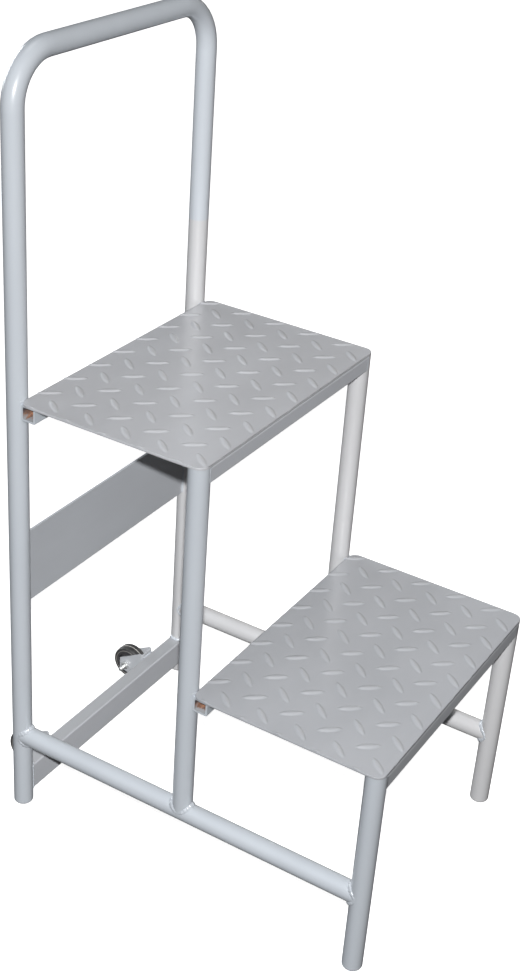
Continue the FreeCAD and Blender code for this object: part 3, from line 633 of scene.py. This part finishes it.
@dataclass
class ChequerTread:
    """A chequer plate: a plate with two slanted lattices of pillow-shaped raised bars.

    Args:
        node: the CAD node that the plate stands for.
        finishes: the stool's finishes.
        pitch: repeat of the bars along X and Y.
        first: left and rear edge of the tread to the first bar.
        slant: turn of a bar from X.
        length: length of a bar.
        width: width of a bar.
        height: height of a bar above the plate.
        corner: corner radius of the plate.
        edge: rounding of the plate's upper edge; the lower one has a third of it.
        step: size of a cell of the surface.
    """

    HEIGHT = "bar_height"

    node: str
    finishes: Finishes
    pitch: Tuple[float, float] = (48.0 * MM, 50.0 * MM)
    first: Tuple[float, float] = (43.0 * MM, 10.0 * MM)
    slant: float = math.radians(50.0)
    length: float = 33.0 * MM
    width: float = 9.0 * MM
    height: float = 1.3 * MM
    corner: float = 12.7 * MM
    edge: float = 0.5 * MM
    step: float = 1.15 * MM

    def lens(self, across: np.ndarray, along: np.ndarray, slant: float) -> np.ndarray:
        """Height of one lattice of bars, as a share of a bar's full height.

        A point is first folded into its own cell of the lattice, then turned by the slant.
        The bar's half width at a distance a from its middle is the gap between two circle
        arcs, the root of R squared minus a squared, less R minus half the width.  The
        height is the smooth step of 1 minus the square of the sideways distance over that
        half width, so that the foot of a bar is soft.

        Args:
            across: distance from a bar of the lattice along X.
            along: distance from a bar of the lattice along Y.
            slant: turn of the bars from X.

        Returns:
            A share from 0 to 1 for each point.
        """
        wide, deep = self.pitch
        x = (across + wide / 2) % wide - wide / 2
        y = (along + deep / 2) % deep - deep / 2
        reach = x * math.cos(slant) + y * math.sin(slant)
        aside = y * math.cos(slant) - x * math.sin(slant)
        radius = (self.length ** 2 + self.width ** 2) / (4 * self.width)
        inside = np.clip(radius ** 2 - reach ** 2, 0.0, None)
        half = np.sqrt(inside) - (radius - self.width / 2)
        share = 1.0 - (aside / np.maximum(half, TINY)) ** 2
        end = smooth_step((self.length / 2 - np.abs(reach)) / (0.22 * self.length))
        return np.where(half > TINY, smooth_step(share) * end, 0.0)

    def rows(self, half_depth: float) -> np.ndarray:
        """Rows of the surface: even over the middle, and even in angle round the corners.

        Args:
            half_depth: centre of the plate to its front or rear edge.

        Returns:
            The rows' places along Y, from the centre.
        """
        quarter = np.linspace(0.0, math.pi / 2, int(self.corner * math.pi / 2 / self.step) + 1)
        arc = half_depth - self.corner + self.corner * np.sin(quarter)
        flat = half_depth - self.corner
        count = int(2 * flat / self.step)
        return np.concatenate([-arc[::-1], np.linspace(-flat, flat, count + 1)[1:-1], arc])

    def edge_rings(self, rim: np.ndarray, outward: np.ndarray, floor: float) -> List[np.ndarray]:
        """Rings of points that carry the rim over the upper edge and round the lower one.

        Each edge is a quarter circle of four points, the first of the upper one being the
        rim itself, which lies inwards by the rounding.

        Args:
            rim: points round the plate's outline at the height of its top.
            outward: level direction away from the plate at each of them.
            floor: height of the plate's underside.

        Returns:
            One array of points for each ring, from the top downwards.
        """
        quarter = np.linspace(0.0, math.pi / 2, 4)
        level = np.full(len(rim), floor)
        steps = [(1 - math.sin(turn), rim[:, 2] - self.edge * (1 - math.cos(turn)))
                 for turn in quarter[1:]]
        steps += [((1 - math.cos(turn)) / 3, level + self.edge * (1 - math.sin(turn)) / 3)
                  for turn in quarter]
        return [np.column_stack([rim[:, :2] - outward * self.edge * inset, height])
                for inset, height in steps]

    def build(self) -> None:
        """Build the plate's top as a height field, its rounded edges and its underside."""
        low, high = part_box(self.node)
        centre = (low + high) / 2
        half_width, half_depth = (high.x - low.x) / 2, (high.y - low.y) / 2
        y = self.rows(half_depth)
        over = np.clip(np.abs(y) - (half_depth - self.corner), 0.0, self.corner)
        reach = half_width - self.corner + np.sqrt(self.corner ** 2 - over ** 2)
        u = np.linspace(-1.0, 1.0, int(2 * half_width / self.step) + 1)
        across = u[None, :] * reach[:, None]
        along = np.broadcast_to(y[:, None], across.shape)
        from_left = across + half_width - self.first[0]
        from_rear = along - half_depth + self.first[1]
        share = np.maximum(
            self.lens(from_left, from_rear, -self.slant),
            self.lens(from_left - self.pitch[0] / 2, from_rear + self.pitch[1] / 2, self.slant))
        top = high.z - self.height
        grid = np.stack([across + centre.x, along + centre.y, top + self.height * share], axis=-1)
        rows, columns = across.shape
        index = np.arange(rows * columns).reshape(rows, columns)
        rim = np.concatenate([index[0, :-1], index[:-1, -1], index[-1, :0:-1], index[:0:-1, 0]])
        rim_points = grid.reshape(-1, 3)[rim]
        from_centre = rim_points[:, :2] - np.array([centre.x, centre.y])
        core = np.array([half_width - self.corner, half_depth - self.corner])
        outward = from_centre - np.clip(from_centre, -core, core)
        outward /= np.linalg.norm(outward, axis=1, keepdims=True)
        rings = self.edge_rings(rim_points, outward, low.z)
        grid.reshape(-1, 3)[rim, :2] = rim_points[:, :2] - outward * self.edge
        points = np.concatenate([grid.reshape(-1, 3)] + rings)
        count = len(rim)
        loops = [rim] + [index.size + k * count + np.arange(count) for k in range(len(rings))]
        faces = grid_quads(rows, columns, False, False).tolist()
        for upper, lower in zip(loops, loops[1:]):
            side = np.stack([upper, lower, np.roll(lower, -1), np.roll(upper, -1)], axis=1)
            faces.extend(side.tolist())
        faces.append(loops[-1][::-1].tolist())
        piece = build(self.node + "_plate", points, faces)
        mark(piece, self.HEIGHT, np.concatenate([share.ravel(), np.zeros(len(points) - index.size)]))
        finish_piece(piece, self.finishes.tread[self.node], Slot.TREAD, "frame", self.node)


# ---- welds

@dataclass
class WeldBead:
    """One weld bead: a round section carried along a seam, rippled and slightly uneven.

    Args:
        name: the piece's name.
        path: points along the seam.
        outward: at each point, the direction that the bead faces.
        size: radius of the bead, or one for each point.
        closed: whether the seam joins its own start.
        ripple: repeat of the ripples along the seam.
        scaly: height of the ripples as a share of the bead's radius.
        uneven: how much the bead swells and thins, as a share of its radius.
        flat: height of the section over its width.
    """

    name: str
    path: np.ndarray
    outward: np.ndarray
    size: Any
    closed: bool = False
    ripple: float = 4.2 * MM
    scaly: float = 0.07
    uneven: float = 0.13
    flat: float = 0.6

    def grid(self, around: int = 12) -> np.ndarray:
        """Points of the bead.

        The section's radius is the bead's size times 1 plus ripples (a sine of the length
        run, raised on one side to look like overlapping scales) plus two slower sines of
        the length run, and it tapers to a point at the ends of an open seam.

        Args:
            around: how many points the section has.

        Returns:
            Rows along the seam and columns round the section.
        """
        if self.closed:
            tangent = np.roll(self.path, -1, axis=0) - np.roll(self.path, 1, axis=0)
        else:
            tangent = np.gradient(self.path, axis=0)
        tangent /= np.linalg.norm(tangent, axis=1, keepdims=True)
        face = self.outward - np.sum(self.outward * tangent, axis=1, keepdims=True) * tangent
        face /= np.linalg.norm(face, axis=1, keepdims=True)
        aside = np.cross(tangent, face)
        steps = np.linalg.norm(np.diff(self.path, axis=0), axis=1)
        run = np.concatenate([[0.0], np.cumsum(steps)])
        total = run[-1] + (np.linalg.norm(self.path[0] - self.path[-1]) if self.closed else 0.0)
        cycles = max(2, round(total / self.ripple))
        phase = FULL_TURN * run / total
        scale = np.sin(cycles * phase) + 0.3 * np.sin(2 * cycles * phase)
        sway = 0.6 * np.sin(3 * phase + 1.0) + 0.4 * np.sin(5 * phase + 2.5)
        radius = self.size * (1.0 + self.scaly * scale + self.uneven * sway)
        if not self.closed:
            end = np.minimum(run, total - run) / (1.2 * np.max(self.size))
            radius = radius * np.sqrt(np.clip(end * (2.0 - np.clip(end, 0, 1)), 0.02, 1.0))
        turn = np.linspace(0.0, FULL_TURN, around, endpoint=False)
        spread = (self.flat * np.cos(turn)[None, :, None] * face[:, None, :]
                  + np.sin(turn)[None, :, None] * aside[:, None, :])
        return self.path[:, None, :] + radius[:, None, None] * spread

    def build(self, finishes: Finishes) -> None:
        """Build the bead, dressed flush with the outer sides of the stool, and paint it."""
        grid = np.clip(self.grid(), CAD_BOX[0], CAD_BOX[1])
        piece = surface(self.name, grid, round_rows=self.closed, round_columns=True,
                        capped=not self.closed, sharp_degrees=80.0)
        finish_piece(piece, finishes.frame, Slot.FRAME, "frame")


@dataclass
class SideWelds:
    """The visible welds of one side of the frame.

    The welds of a tread's front bar and rear bar stand off the axis of their tube by these
    shares of its radius.

    Args:
        side: which side of the stool they are on.
        layout: where the tubes run.
        finishes: the stool's finishes.
        size: radius of a full bead.
        small: radius of a thin bead.
        spacing: length of a step along a seam.
    """

    FRONT_BAR, REAR_BAR = 0.28, 0.42

    side: Side
    layout: Layout
    finishes: Finishes
    size: float = 4.8 * MM
    small: float = 1.92 * MM
    spacing: float = 0.4 * MM

    @property
    def x(self) -> float:
        """Where the axes of this side's tubes lie."""
        return self.side.value * self.layout.half_spacing

    def flank(self, offset: float) -> float:
        """How far a post's surface lies from its axis along X, at an offset along Y."""
        return math.sqrt(self.layout.tube_radius ** 2 - offset ** 2)

    def steps(self, length: float) -> int:
        """How many points a seam of a length has."""
        return max(16, int(length / self.spacing))

    def bead(self, seam: str, path: np.ndarray, outward: np.ndarray, size: Any,
             closed: bool = False) -> None:
        """Build the bead of a seam of this side."""
        name = "%s_%s_weld" % (self.side.word, seam)
        WeldBead(name, path, outward, size, closed).build(self.finishes)

    def saddle(self, seam: str, y: float, along: np.ndarray) -> None:
        """The seam where one tube lands on another of the same size at a right angle.

        Round the landing tube by an angle t, the seam runs at the radius times (cos t
        across, sin t on the third axis), and out from the other tube's axis by the root of
        its radius (3% more) squared minus the square of the part across it.  The bead is
        full where the tubes meet squarely and sinks and thins where their sides are flush.

        Args:
            seam: the seam's name.
            y: where the two axes meet, at the height of the rail.
            along: direction of the landing tube, away from the other.
        """
        radius = self.layout.tube_radius
        across = np.array([1.0, 0.0, 0.0])
        third = np.cross(along, across)
        turn = np.linspace(0.0, FULL_TURN, self.steps(FULL_TURN * radius * 1.2), endpoint=False)
        square = np.sin(turn) ** 2
        side, up = radius * np.cos(turn), radius * np.sin(turn)
        away = np.sqrt((1.03 * radius) ** 2 - side ** 2)
        sunk = 1.0 - 0.085 * (1.0 - square)
        ring = (sunk * side)[:, None] * across + up[:, None] * third
        path = np.array([self.x, y, self.layout.rail_z]) + ring + away[:, None] * along
        self.bead(seam, path, ring / radius + along, self.size * (0.58 + 0.42 * square), True)

    def arc(self, seam: str, y: float, z: float, facing: float, half_turn: float, size: float,
            sunk: float = 0.0) -> None:
        """A level seam round part of an upright tube.

        Args:
            seam: the seam's name.
            y: where the tube's axis lies.
            z: height of the seam.
            facing: bearing of the middle of the seam, from +X towards +Y.
            half_turn: how far it runs each way from there.
            size: radius of the bead.
            sunk: how far the bead's middle lies inside the tube's surface.
        """
        closed = half_turn >= math.pi
        radius = self.layout.tube_radius - sunk
        count = self.steps(2 * half_turn * radius)
        turn = facing + np.linspace(-half_turn, half_turn, count, endpoint=not closed)
        outward = np.stack([np.cos(turn), np.sin(turn), np.zeros_like(turn)], axis=1)
        self.bead(seam, np.array([self.x, y, z]) + radius * outward, outward, size, closed)

    def line(self, seam: str, start: Sequence[float], end: Sequence[float],
             outward: Sequence[float], thin: float = 1.0) -> None:
        """A straight seam with a thin bead.

        Args:
            seam: the seam's name.
            start: one end of it.
            end: the other end.
            outward: the direction that the bead faces.
            thin: the bead's radius over that of a thin bead.
        """
        first, last = np.array(start, dtype=float), np.array(end, dtype=float)
        share = np.linspace(0.0, 1.0, self.steps(np.linalg.norm(last - first)))[:, None]
        path = first + share * (last - first)
        facing = np.broadcast_to(np.array(outward, dtype=float), path.shape)
        self.bead(seam, path, facing, thin * self.small)

    def upright(self, seam: str, x: float, y: float, z: Tuple[float, float],
                outward: Tuple[float, float], thin: float = 1.0) -> None:
        """A vertical seam at x, y between two heights, facing outward on the level."""
        self.line(seam, (x, y, z[0]), (x, y, z[1]), (*outward, 0.0), thin)

    def build_rails(self) -> None:
        """The saddles at both ends of the side rail and under the mid post."""
        for seam, y, along in (("rail_rear", self.layout.rear_y, (0.0, -1.0, 0.0)),
                               ("rail_front", self.layout.front_y, (0.0, 1.0, 0.0)),
                               ("mid_post", self.layout.mid_y, (0.0, 0.0, 1.0))):
            self.saddle(seam, y, np.array(along))

    def build_tread(self, tread: str, row: float, next_row: float) -> None:
        """The welds of a tread: its corner, its rear edge and its two bars.

        Args:
            tread: upper or lower.
            row: Y of the tubes under its front.
            next_row: Y of the tubes behind it.
        """
        sign, small, radius = self.side.value, self.small, self.layout.tube_radius
        low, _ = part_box(tread + "_tread")
        self.arc(tread + "_corner", row, low.z - 0.4 * MM, 0.0, math.pi, small, 0.7 * small)
        self.arc(tread + "_rear", next_row, low.z + 1.5 * MM, -math.pi / 2, math.radians(38.0),
                 small, 0.3 * small)
        low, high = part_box(tread + "_front_bar")
        z = (low.z + 1.0 * MM, high.z)
        self.upright(tread + "_front_bar", self.x - sign * self.FRONT_BAR * radius,
                     low.y + 0.35 * small, z, (-0.3 * sign, -1.0), 0.8)
        self.upright(tread + "_front_bar_back", self.x - sign * self.flank(high.y - row), high.y, z,
                     (-sign, 1.0))
        low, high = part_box(tread + "_rear_bar")
        for edge, out in (("outer", sign), ("inner", -sign)):
            self.upright("%s_rear_bar_%s" % (tread, edge), self.x + out * self.REAR_BAR * radius,
                         high.y + 0.4 * MM, (low.z, high.z), (out, 0.6))

    def build_rear(self) -> None:
        """The welds of the panel, the crossbar and the castor fork."""
        sign, small, rear = self.side.value, self.small, self.layout.rear_y
        for node in ("rear_panel", "rear_crossbar"):
            low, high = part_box(node)
            for face, y, out in (("front", low.y, -1.0), ("back", high.y, 1.0)):
                end = self.x - sign * (self.flank(y - rear) + 0.2 * small)
                self.upright("%s_%s" % (node, face), end, y, (low.z + 0.5 * MM, high.z - 0.5 * MM),
                             (-sign, out))
        top = high.z
        inwards = math.pi if self.side is Side.RIGHT else 0.0
        self.arc("crossbar_top", rear, top, inwards, math.radians(50.0), 0.6 * self.size)
        low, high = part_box(self.side.word + "_castor_fork")
        for edge, at, out in (("left", low.x, -1.0), ("right", high.x, 1.0)):
            self.upright("fork_" + edge, at + 0.2 * out * small, low.y + 0.2 * MM,
                         (low.z + 1.5 * MM, top - 1.5 * MM), (out, 1.0))
        self.line("fork_top", (low.x + 4.0 * MM, low.y, top), (high.x - 4.0 * MM, low.y, top),
                  (0.0, -1.0, 1.0))

    def build(self) -> None:
        """Build every weld of this side."""
        self.build_rails()
        self.build_tread("upper", self.layout.mid_y, self.layout.rear_y)
        self.build_tread("lower", self.layout.front_y, self.layout.mid_y)
        self.build_rear()


# ---- castors

@dataclass
class Castor:
    """One rigid castor: tyre with its parting line, hub, threaded axle bolt and nut.

    A head or a nut is chamfered by a cone of 30 degrees that starts at a share of its half
    width over flats and opens by so much for each step along the axle.

    Args:
        side: which side of the stool it is on.
        finishes: the stool's finishes.
        segments: steps in a full turn, a multiple of 6.
        rib: height of the parting line round the tyre.
        shoulder: radius of the tyre's shoulders.
        dish: how far the tyre's walls lie in from its shoulders.
        line: half width of the parting line.
        head: height of the bolt's head.
        shank: radius of the bolt.
        pitch: pitch of the bolt's thread.
        thread_depth: depth of the bolt's thread.
        thread_length: length of the threaded end.
    """

    SEAM = "moulding_seam"
    CONE_START, CONE_SLOPE = 0.93, 1.7

    side: Side
    finishes: Finishes
    segments: int = 96
    rib: float = 0.5 * MM
    shoulder: float = 3.0 * MM
    dish: float = 0.5 * MM
    line: float = 0.6 * MM
    head: float = 4.0 * MM
    shank: float = 3.0 * MM
    pitch: float = 1.0 * MM
    thread_depth: float = 0.55 * MM
    thread_length: float = 20.0 * MM

    def node(self, part: str) -> str:
        """The CAD node of one of this castor's parts."""
        return "%s_%s" % (self.side.word, part)

    @property
    def turn(self) -> np.ndarray:
        """The steps of a full turn round the axle."""
        return np.linspace(0.0, FULL_TURN, self.segments, endpoint=False)

    def rings(self, x: np.ndarray, radius: np.ndarray, centre: Vector) -> np.ndarray:
        """Rings about the axle, which runs along X.

        A ring's point at a turn t has y = radius times sin t and z = radius times cos t.

        Args:
            x: distance of each ring from the centre.
            radius: a row for each ring, with one radius or one for each step of the turn.
            centre: the middle of the axle.

        Returns:
            Points in rows along the axle and columns round it.
        """
        along = np.broadcast_to(x[:, None], (len(x), self.segments))
        grid = np.stack([along, radius * np.sin(self.turn), radius * np.cos(self.turn)], axis=-1)
        return grid + np.array(centre)

    def hexagon(self, across: float) -> np.ndarray:
        """Radius of a hexagon all round: half its flats over the cosine from a flat's middle."""
        sixth = FULL_TURN / 6
        return across / 2 / np.cos(self.turn % sixth - sixth / 2)

    def tyre(self) -> None:
        """The tyre: a flat running face between rounded shoulders, with fine raised lines.

        The outline's shoulder is a quarter circle; the line round the middle is the rib's
        height times a bell curve of the distance from it.  A low ring stands on each side
        wall.  The attribute marks the middle line fully and the ring faintly.
        """
        node = self.node("wheel_tyre")
        low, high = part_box(node)
        centre = (low + high) / 2
        half, radius = (high.x - low.x) / 2, (high.z - low.z) / 2
        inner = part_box(self.node("wheel_hub"))[1].z - centre.z
        quarter = np.linspace(0.0, math.pi / 2, 9)
        arc_x = half - self.shoulder + (self.shoulder - self.dish) * np.cos(quarter)
        arc_r = radius - self.rib - self.shoulder + self.shoulder * np.sin(quarter)
        face_x = np.linspace(half - self.shoulder, self.shoulder - half, 41)[1:-1]
        bell = np.exp(-(face_x / self.line) ** 2)
        wall_r = inner + np.array([0.0, 0.3, 0.6, 0.9, 1.2, 1.5, 1.8]) * MM
        wall_x = half - self.dish + self.dish * np.array([0.0, 0.0, 0.4, 1.0, 1.0, 0.4, 0.0])
        wall_mark = np.array([0.0, 0.0, 0.3, 0.3, 0.3, 0.3, 0.0])
        blank = np.zeros_like(arc_x)
        x = np.concatenate([wall_x, arc_x, face_x, -arc_x[::-1], -wall_x[::-1]])
        r = np.concatenate([wall_r, arc_r, radius - self.rib + self.rib * bell, arc_r[::-1], wall_r[::-1]])
        seam = np.concatenate([wall_mark, blank, bell, blank, wall_mark[::-1]])
        grid = self.rings(x[::-1], r[::-1, None], centre)
        piece = surface(self.node("tyre"), grid, round_rows=True, round_columns=True)
        # The marked lines get a pale painted highlight in the tyre's finish.
        mark(piece, self.SEAM, np.repeat(seam[::-1], self.segments))
        finish_piece(piece, self.finishes.rubber, Slot.RUBBER, self.node("wheel"), node)

    def bolt(self) -> None:
        """The axle bolt: chamfered hexagon head, plain shank and threaded end.

        Over the head the radius is the lesser of the hexagon and the cone.  Over the
        thread it is the shank's less the depth times the distance from a crest, which winds
        once round in a pitch, and the last pitch tapers to the point.
        """
        node, outward = self.node("axle_bolt"), self.side.value
        low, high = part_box(node)
        centre = Vector((high.x if outward > 0 else low.x, (low.y + high.y) / 2, (low.z + high.z) / 2))
        length, flats = high.x - low.x, high.y - low.y
        face = np.array([0.0, 0.0, 0.0625, 0.15, 0.25, 0.5, 0.9975, 1.0]) * self.head
        cone = self.CONE_START * flats / 2 + self.CONE_SLOPE * face
        head = np.minimum(self.hexagon(flats)[None, :], cone[:, None])
        head[0] = TINY
        smooth = np.array([self.head, length - self.thread_length])
        plain = np.full((2, self.segments), self.shank)
        run = np.linspace(length - self.thread_length, length, int(8 * self.thread_length / self.pitch))
        share = np.arange(self.segments) / self.segments
        wind = (run[:, None] / self.pitch + share[None, :]) % 1.0
        fade = smooth_step((run - run[0]) / self.pitch)[:, None]
        groove = self.thread_depth * fade * np.abs(2.0 * wind - 1.0)
        point = np.clip((length - run)[:, None] / self.pitch, 0.0, 1.0)
        thread = np.minimum(self.shank - groove, self.shank * (0.72 + 0.28 * point))
        x = np.concatenate([face, smooth, run, [length]])
        radius = np.concatenate([head, plain, thread, np.full((1, self.segments), TINY)])
        grid = self.rings(-outward * x, radius, centre)
        grid = grid if outward < 0 else grid[::-1]
        piece = surface(node + "_threaded", grid, round_columns=True, capped=True, sharp_degrees=24.0)
        finish_piece(piece, self.finishes.zinc, Slot.ZINC, "frame", node)

    def nut(self) -> None:
        """The nut: a hexagon chamfered at both ends, with a plain bore.

        The radius is the lesser of the hexagon and the cone from either end.
        """
        node = self.node("axle_nut")
        low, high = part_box(node)
        centre, length = (low + high) / 2, high.x - low.x
        flats = high.y - low.y
        x = np.array([-0.5, -0.49, -0.45, -0.38, -0.3, 0.3, 0.38, 0.45, 0.49, 0.5]) * length
        cone = self.CONE_START * flats / 2 + self.CONE_SLOPE * (length / 2 - np.abs(x))
        outside = np.minimum(self.hexagon(flats)[None, :], cone[:, None])
        bore = np.full((2, self.segments), self.shank + 0.05 * MM)
        x = np.concatenate([x, [length / 2, -length / 2]])
        grid = self.rings(x, np.concatenate([outside, bore]), centre)
        piece = surface(node + "_chamfered", grid, round_rows=True, round_columns=True, sharp_degrees=24.0)
        finish_piece(piece, self.finishes.zinc, Slot.ZINC, "frame", node)

    def build(self) -> None:
        """Build what is detailed and dress the rest."""
        self.tyre()
        self.bolt()
        self.nut()
        for part, finish in (("wheel_hub", self.finishes.plastic), ("castor_fork", self.finishes.fork),
                             ("axle_sleeve", self.finishes.zinc), ("axle_washers", self.finishes.zinc)):
            dress(self.node(part), finish)


# ---- frame

@dataclass
class TubeFrame:
    """The welded frame: its tubes, bars, panel and crossbar.

    Args:
        finishes: the stool's finishes.
        bar_wall: wall of the square bars.
    """

    finishes: Finishes
    bar_wall: float = 2.5 * MM

    def build(self) -> None:
        """Dress every CAD node of the frame that stays in view."""
        dress("handrail_hoop", self.finishes.hoop)
        for side, coat in ((Side.LEFT, self.finishes.frame), (Side.RIGHT, self.finishes.warm)):
            for part in ("mid_post", "front_leg", "side_rail", "rear_foot_plug", "front_foot_plug"):
                dress("%s_%s" % (side.word, part), coat)
        dress("rear_panel", self.finishes.panel)
        for node in ("upper_front_bar", "lower_front_bar"):
            dress(node, self.finishes.bar)
        dress("rear_crossbar", self.finishes.crossbar)
        for node in ("upper_rear_bar", "lower_rear_bar"):
            low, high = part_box(node)
            bore = (high.z - low.z) / 2 - self.bar_wall
            coat = Enamel(node + "_enamel")
            dress(node, RustyBore(coat, (low + high) / 2, bore, high.x).material())


# ---- studio

@dataclass(frozen=True)
class Sun:
    """One far soft light.

    Args:
        name: the light's name.
        bearing: degrees round from the camera.
        elevation: degrees above level.
        angle: degrees across, which sets how soft it is.
        strength: how strong it is.
        colour: its colour.
        mirrored: whether gloss mirrors it.
    """

    name: str
    bearing: float
    elevation: float
    angle: float
    strength: float
    colour: Colour = (1.0, 1.0, 1.0)
    mirrored: bool = True


@dataclass
class Studio:
    """A plain pale floor, soft light and the camera.

    Args:
        azimuth: bearing of the view, 0 looking along +Y.
        elevation: how far above level the camera stands.
        roll: how far the picture is turned.
        distance: camera to target.
        target: the point in the middle of the picture.
        lens: focal length, for a sensor whose longer side is 36 mm.
        floor_size: width of the floor.
        lamp_rise: height of the lamp above the camera.
        lamp_radius: radius of the lamp, which sets how soft its shadows are.
        lamp_power: power of the lamp, the same at every distance.
        suns: the far lights.
        ambient: strength of the light from all round.
        backdrop: how bright the world looks beyond the floor.
    """

    azimuth: float = math.radians(-60.502)
    elevation: float = math.radians(29.808)
    roll: float = math.radians(4.268)
    distance: float = 1.90671
    target: Vector = field(default_factory=lambda: Vector((0.046488, 0.024639, 0.449722)))
    lens: float = 56.79
    floor_size: float = 60.0
    lamp_rise: float = 0.09
    lamp_radius: float = 0.015
    lamp_power: float = 48.0
    suns: Tuple[Sun, ...] = (
        Sun("ceiling_light", 180.0, 80.0, 30.0, 0.30),
        Sun("left_light", -75.0, 40.0, 50.0, 0.26, (0.78, 0.90, 1.0)),
        Sun("front_light", 85.0, 30.0, 50.0, 0.06, (1.0, 0.84, 0.70)),
        Sun("rear_light", -135.0, 10.0, 30.0, 1.5, (0.94, 0.97, 1.0)),
        Sun("right_light", 162.0, 10.0, 30.0, 1.6, (1.0, 0.95, 0.89), False),
    )
    ambient: float = 0.04
    backdrop: float = 1.1

    def back(self, azimuth: float, elevation: float) -> Vector:
        """The direction from the target towards a bearing and an elevation."""
        level = math.cos(elevation)
        return Vector((math.sin(azimuth) * level, -math.cos(azimuth) * level, math.sin(elevation)))

    def camera(self) -> None:
        """Stand the camera back from its target and turn the picture by the roll."""
        back = self.back(self.azimuth, self.elevation)
        level_right = Vector((math.cos(self.azimuth), math.sin(self.azimuth), 0.0))
        level_up = back.cross(level_right)
        right = math.cos(self.roll) * level_right + math.sin(self.roll) * level_up
        up = math.cos(self.roll) * level_up - math.sin(self.roll) * level_right
        data = bpy.data.cameras.new("camera")
        data.lens = self.lens
        data.sensor_width = 36.0
        data.sensor_fit = "AUTO"
        data.clip_start, data.clip_end = 0.01, 200.0
        camera = bpy.data.objects.new("camera", data)
        turn = Matrix((right, up, back)).transposed().to_4x4()
        camera.matrix_world = Matrix.Translation(self.target + back * self.distance) @ turn
        bpy.context.scene.collection.objects.link(camera)
        bpy.context.scene.camera = camera

    def floor(self) -> None:
        """A pale floor that glows faintly, so that shade on it stays light.

        It sends no diffuse light back up, as a floor far below the lamps would not.
        """
        nodes = Nodes("studio_floor")
        tone = nodes.ramp(nodes.noise(1.5, 2.0), 0.3, 0.7)
        colour = nodes.mix(tone, rgba((0.58, 0.58, 0.58)), rgba((0.62, 0.62, 0.62)))
        material = nodes.feed(Base_Color=colour, Roughness=0.9, Specular_IOR_Level=0.0,
                              Emission_Color=rgba((1.0, 1.0, 1.0)), Emission_Strength=0.85)
        half = self.floor_size / 2
        corners = np.array([(-half, -half, 0), (half, -half, 0), (half, half, 0), (-half, half, 0)])
        floor = build("studio_floor", corners, [[0, 1, 2, 3]])
        floor.data.materials.append(material)
        floor.visible_diffuse = False
        floor.visible_glossy = False

    def stand(self, data: bpy.types.Light, back: Vector) -> bpy.types.Object:
        """Stand a light at the camera's distance from the target, turned to face it.

        Args:
            data: the light.
            back: direction of the light from the target.

        Returns:
            The light's object.
        """
        light = bpy.data.objects.new(data.name, data)
        light.location = self.target + back * self.distance
        light.rotation_euler = back.to_track_quat("Z", "Y").to_euler()
        bpy.context.scene.collection.objects.link(light)
        return light

    def light(self) -> None:
        """A lamp over the camera and soft lights from above and all sides."""
        lamp = bpy.data.lights.new("lamp", "POINT")
        lamp.shadow_soft_size, lamp.energy, lamp.use_nodes = self.lamp_radius, self.lamp_power, True
        falloff = lamp.node_tree.nodes.new("ShaderNodeLightFalloff")
        falloff.inputs["Strength"].default_value = 1.0
        emission = lamp.node_tree.nodes["Emission"]
        lamp.node_tree.links.new(falloff.outputs["Constant"], emission.inputs["Strength"])
        self.stand(lamp, self.back(self.azimuth, self.elevation)).location.z += self.lamp_rise
        for sun in self.suns:
            data = bpy.data.lights.new(sun.name, "SUN")
            data.angle, data.energy, data.color = math.radians(sun.angle), sun.strength, sun.colour
            back = self.back(self.azimuth + math.radians(sun.bearing), math.radians(sun.elevation))
            self.stand(data, back).visible_glossy = sun.mirrored

    def surroundings(self) -> None:
        """A world that lights the stool dimly and looks pale beyond the floor."""
        world = bpy.data.worlds.new("studio_world")
        world.use_nodes = True
        tree = world.node_tree
        background = tree.nodes["Background"]
        background.inputs["Color"].default_value = rgba((1.0, 1.0, 1.0))
        path = tree.nodes.new("ShaderNodeLightPath")
        strength = tree.nodes.new("ShaderNodeMapRange")
        strength.inputs["To Min"].default_value = self.ambient
        strength.inputs["To Max"].default_value = self.backdrop
        tree.links.new(path.outputs["Is Camera Ray"], strength.inputs["Value"])
        tree.links.new(strength.outputs["Result"], background.inputs["Strength"])
        bpy.context.scene.world = world

    def build(self) -> None:
        """Set the stage."""
        self.camera()
        self.floor()
        self.light()
        self.surroundings()
        settings = bpy.context.scene.view_settings
        settings.view_transform = "Standard"
        settings.look = "None"


def main() -> None:
    """Build the stool's looks piece by piece."""
    logging.basicConfig(level=logging.INFO, format="%(name)s: %(message)s")
    finishes = Finishes()
    TubeFrame(finishes).build()
    for tread in TREADS:
        ChequerTread(tread, finishes).build()
    layout = Layout.read()
    for side in Side:
        SideWelds(side, layout, finishes).build()
    for side in Side:
        Castor(side, finishes).build()
    Studio().build()


if __name__ == "__main__":
    main()
